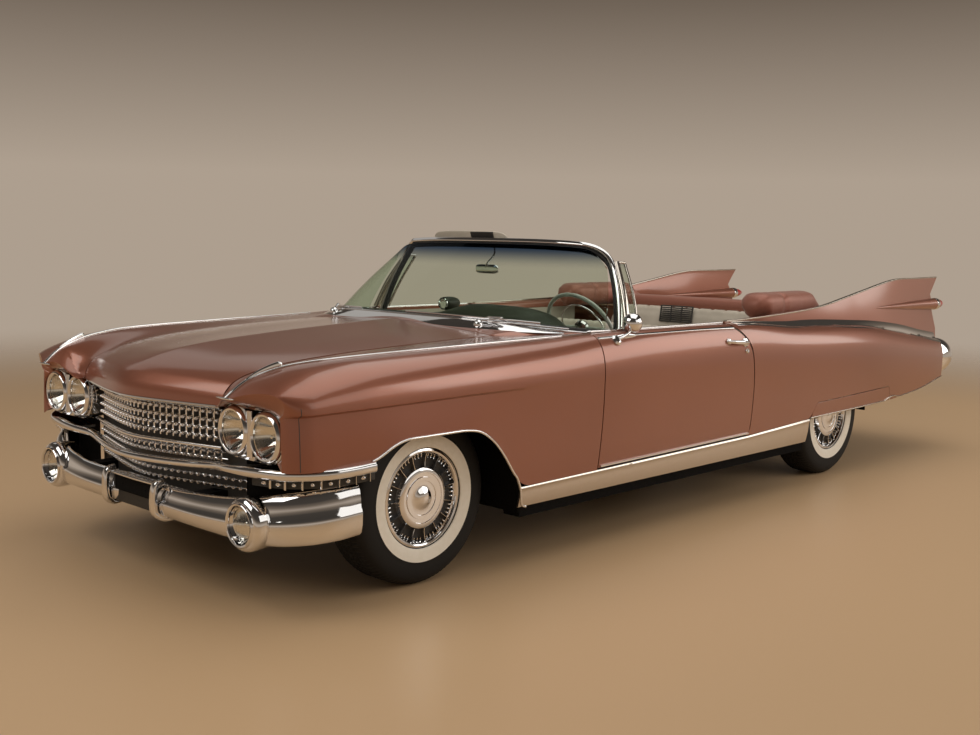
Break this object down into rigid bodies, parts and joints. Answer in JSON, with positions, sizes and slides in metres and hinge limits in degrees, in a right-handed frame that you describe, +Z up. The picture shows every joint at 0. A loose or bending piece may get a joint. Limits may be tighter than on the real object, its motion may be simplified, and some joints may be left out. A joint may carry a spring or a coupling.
{
  "type": "open two-door 1950s car with tail fins",
  "caption": "Long open car with tail fins, twin headlamps, stud grille and wraparound windshield; doors, hood and trunk lid open, wheels roll and steer.",
  "frame": {"origin": "on the ground under the middle of the car", "axes": "+X forward, +Y to the left, +Z up"},
  "size_m": [5.711, 2.052, 1.3743],
  "materials": {
    "body_paint": "metallic gloss paint",
    "chrome": "polished",
    "stainless": "polished stainless",
    "black_steel": "satin black",
    "tyre": "matte with a white band",
    "tinted_glass": "clear, green tint",
    "clear_lens": "ribbed clear glass",
    "red_lens": "gloss",
    "top_cover": "coated cloth",
    "seat_leather": "soft gloss",
    "dash_paint": "satin",
    "wheel_plastic": "gloss",
    "exhaust_steel": "dull",
    "engine_iron": "painted",
    "cast_steel": "satin black"
  },
  "bodies": {
    "root": {"frame": "black_steel", "floor_pan": "black_steel", "cowl": "body_paint", "cowl_frame": "black_steel", "dashboard": "dash_paint", "fender_left": "body_paint", "fender_right": "body_paint", "quarter_left": "body_paint", "quarter_right": "body_paint", "tail_panel": "body_paint", "sill_trims": "stainless", "fender_skirts": "body_paint", "inner_fenders": "black_steel", "wheelhouses": "black_steel", "inner_panels": "seat_leather", "windshield_frame": "chrome", "windshield_glass": "tinted_glass", "grille": "chrome", "grille_bar": "chrome", "front_bumper": "chrome", "lamp_housings": "body_paint", "lamp_rims": "chrome", "lamp_lenses": "clear_lens", "rear_bumper": "chrome", "tail_lamps": "red_lens", "boot_cover": "top_cover", "front_seat": "seat_leather", "rear_seat": "seat_leather", "steering_column": "dash_paint", "engine": "engine_iron", "radiator": "black_steel", "exhaust": "exhaust_steel", "rear_axle": "cast_steel", "driveshaft": "black_steel", "front_suspension": "cast_steel", "fuel_tank": "black_steel", "door_hinges": "black_steel", "lid_hinges": "black_steel", "bulkhead": "black_steel", "plate_brackets": "chrome", "crossmembers": "black_steel"},
    "hood": {"hood": "body_paint"},
    "trunk_lid": {"trunk_lid": "body_paint"},
    "door_left": {"door_left": "body_paint", "vent_left": "chrome"},
    "door_right": {"door_right": "body_paint", "vent_right": "chrome"},
    "knuckle_left": {"knuckle_left": "cast_steel"},
    "knuckle_right": {"knuckle_right": "cast_steel"},
    "wheel_front_left": {"tyre_front_left": "tyre", "wheel_front_left": "chrome"},
    "wheel_front_right": {"tyre_front_right": "tyre", "wheel_front_right": "chrome"},
    "wheel_rear_left": {"tyre_rear_left": "tyre", "wheel_rear_left": "chrome"},
    "wheel_rear_right": {"tyre_rear_right": "tyre", "wheel_rear_right": "chrome"},
    "steering_wheel": {"steering_wheel": "wheel_plastic"}
  },
  "joints": [
    {"name": "door_left_hinge", "type": "hinge", "parent": "root", "child": "door_left", "pos_m": [1.0785, 1.003, 0.64], "axis": [0, 0, -1], "range_deg": [0, 65]},
    {"name": "door_right_hinge", "type": "hinge", "parent": "root", "child": "door_right", "pos_m": [1.0785, -1.003, 0.64], "axis": [0, 0, 1], "range_deg": [0, 65]},
    {"name": "hood_hinge", "type": "hinge", "parent": "root", "child": "hood", "pos_m": [1.5085, 0, 0.934], "axis": [0, -1, 0], "range_deg": [0, 45]},
    {"name": "trunk_hinge", "type": "hinge", "parent": "root", "child": "trunk_lid", "pos_m": [-1.6395, 0, 0.925], "axis": [0, 1, 0], "range_deg": [0, 65]},
    {"name": "steer_left", "type": "hinge", "parent": "root", "child": "knuckle_left", "pos_m": [2.0485, 0.655, 0.35], "axis": [0, 0, 1], "range_deg": [-35, 35]},
    {"name": "steer_right", "type": "hinge", "parent": "root", "child": "knuckle_right", "pos_m": [2.0485, -0.655, 0.35], "axis": [0, 0, 1], "range_deg": [-35, 35]},
    {"name": "steering_wheel_turn", "type": "hinge", "parent": "root", "child": "steering_wheel", "pos_m": [0.5005, 0.38, 0.915], "axis": [-0.866, 0, 0.5], "range_deg": [-630, 630]},
    {"name": "spin_front_left", "type": "hinge", "parent": "knuckle_left", "child": "wheel_front_left", "pos_m": [2.0485, 0.7745, 0.35], "axis": [0, 1, 0], "continuous": true},
    {"name": "spin_front_right", "type": "hinge", "parent": "knuckle_right", "child": "wheel_front_right", "pos_m": [2.0485, -0.7745, 0.35], "axis": [0, 1, 0], "continuous": true},
    {"name": "spin_rear_left", "type": "hinge", "parent": "root", "child": "wheel_rear_left", "pos_m": [-1.2535, 0.7745, 0.35], "axis": [0, 1, 0], "continuous": true},
    {"name": "spin_rear_right", "type": "hinge", "parent": "root", "child": "wheel_rear_right", "pos_m": [-1.2535, -0.7745, 0.35], "axis": [0, 1, 0], "continuous": true}
  ],
  "couplings": [
    {"joint": "steer_right", "follows": "steer_left", "ratio": 1},
    {"joint": "steering_wheel_turn", "follows": "steer_left", "ratio": 18}
  ]
}
